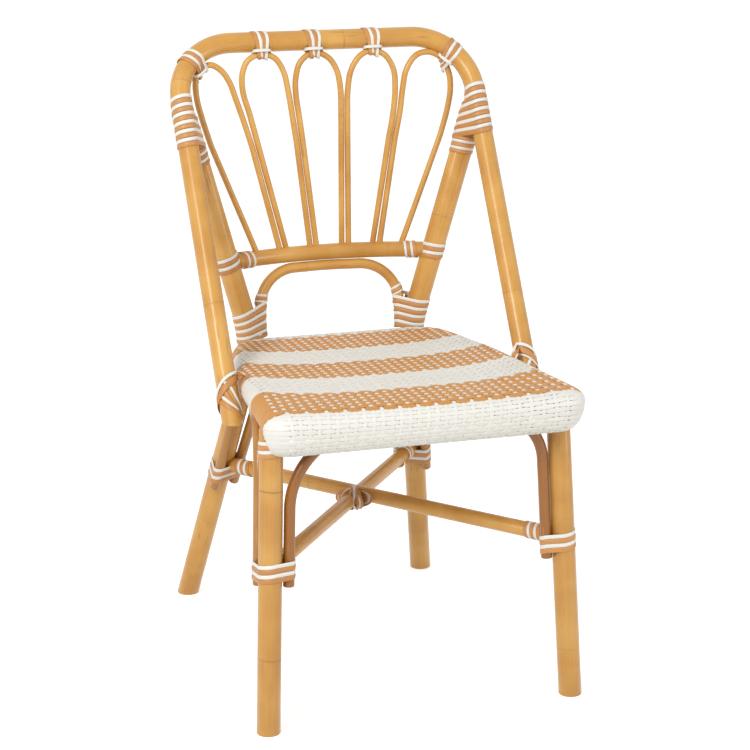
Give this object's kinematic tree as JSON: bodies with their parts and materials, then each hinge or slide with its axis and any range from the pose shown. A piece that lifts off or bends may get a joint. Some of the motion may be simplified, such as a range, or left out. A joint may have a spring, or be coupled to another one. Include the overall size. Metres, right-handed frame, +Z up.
{
  "type": "bistro chair",
  "caption": "Cafe chair with a bent cane pole frame, looped rods in the back, a striped woven seat and strip-wound joints.",
  "frame": {"origin": "middle of the bounding box on the floor plane", "axes": "+Z up, the chair faces -Y, +X is on the right when the chair is seen from the front"},
  "size_m": [0.4938, 0.6348, 0.9026],
  "materials": {
    "cane_pole": "varnished natural cane, satin gloss",
    "binding_strip": "flat strip, tan and white side by side",
    "woven_strip": "plain weave of flat strip, white with tan bands",
    "screw_steel": "plain steel wood screws"
  },
  "bodies": {
    "root": {"back_post_left": "cane_pole", "back_post_right": "cane_pole", "hoop": "cane_pole", "front_leg_left": "cane_pole", "front_leg_right": "cane_pole", "back_post_screw_left": "screw_steel", "back_post_screw_right": "screw_steel", "hoop_screw_left": "screw_steel", "hoop_screw_right": "screw_steel", "front_leg_screw_left": "screw_steel", "front_leg_screw_right": "screw_steel", "seat_side_rail_left": "cane_pole", "seat_side_rail_right": "cane_pole", "seat_front_rail": "cane_pole", "seat_rear_rail": "cane_pole", "seat_cross_rail": "cane_pole", "seat_weave": "woven_strip", "back_rail": "cane_pole", "back_loop_1": "cane_pole", "back_loop_2": "cane_pole", "back_loop_3": "cane_pole", "back_loop_4": "cane_pole", "back_loop_5": "cane_pole", "back_arch": "cane_pole", "front_arch": "cane_pole", "rear_arch": "cane_pole", "side_arch_left": "cane_pole", "side_arch_right": "cane_pole", "stretcher_from_rear_left": "cane_pole", "stretcher_from_rear_right": "cane_pole", "front_leg_lashing_left": "binding_strip", "rear_leg_lashing_left": "binding_strip", "back_rail_post_lashing_left": "binding_strip", "hoop_foot_lashing_left": "binding_strip", "leg_top_lashing_left": "binding_strip", "rear_stretcher_lashing_left": "binding_strip", "front_stretcher_lashing_right": "binding_strip", "back_rail_end_lashing_left": "binding_strip", "post_foot_lashing_left": "binding_strip", "post_top_lashing_left": "binding_strip", "shoulder_lashing_left": "binding_strip", "front_leg_lashing_right": "binding_strip", "rear_leg_lashing_right": "binding_strip", "back_rail_post_lashing_right": "binding_strip", "hoop_foot_lashing_right": "binding_strip", "leg_top_lashing_right": "binding_strip", "rear_stretcher_lashing_right": "binding_strip", "front_stretcher_lashing_left": "binding_strip", "back_rail_end_lashing_right": "binding_strip", "post_foot_lashing_right": "binding_strip", "post_top_lashing_right": "binding_strip", "shoulder_lashing_right": "binding_strip", "stretcher_cross_lashing": "binding_strip", "loop_lashing_1": "binding_strip", "loop_lashing_2": "binding_strip", "loop_lashing_3": "binding_strip", "loop_lashing_4": "binding_strip", "loop_lashing_5": "binding_strip"}
  },
  "joints": []
}
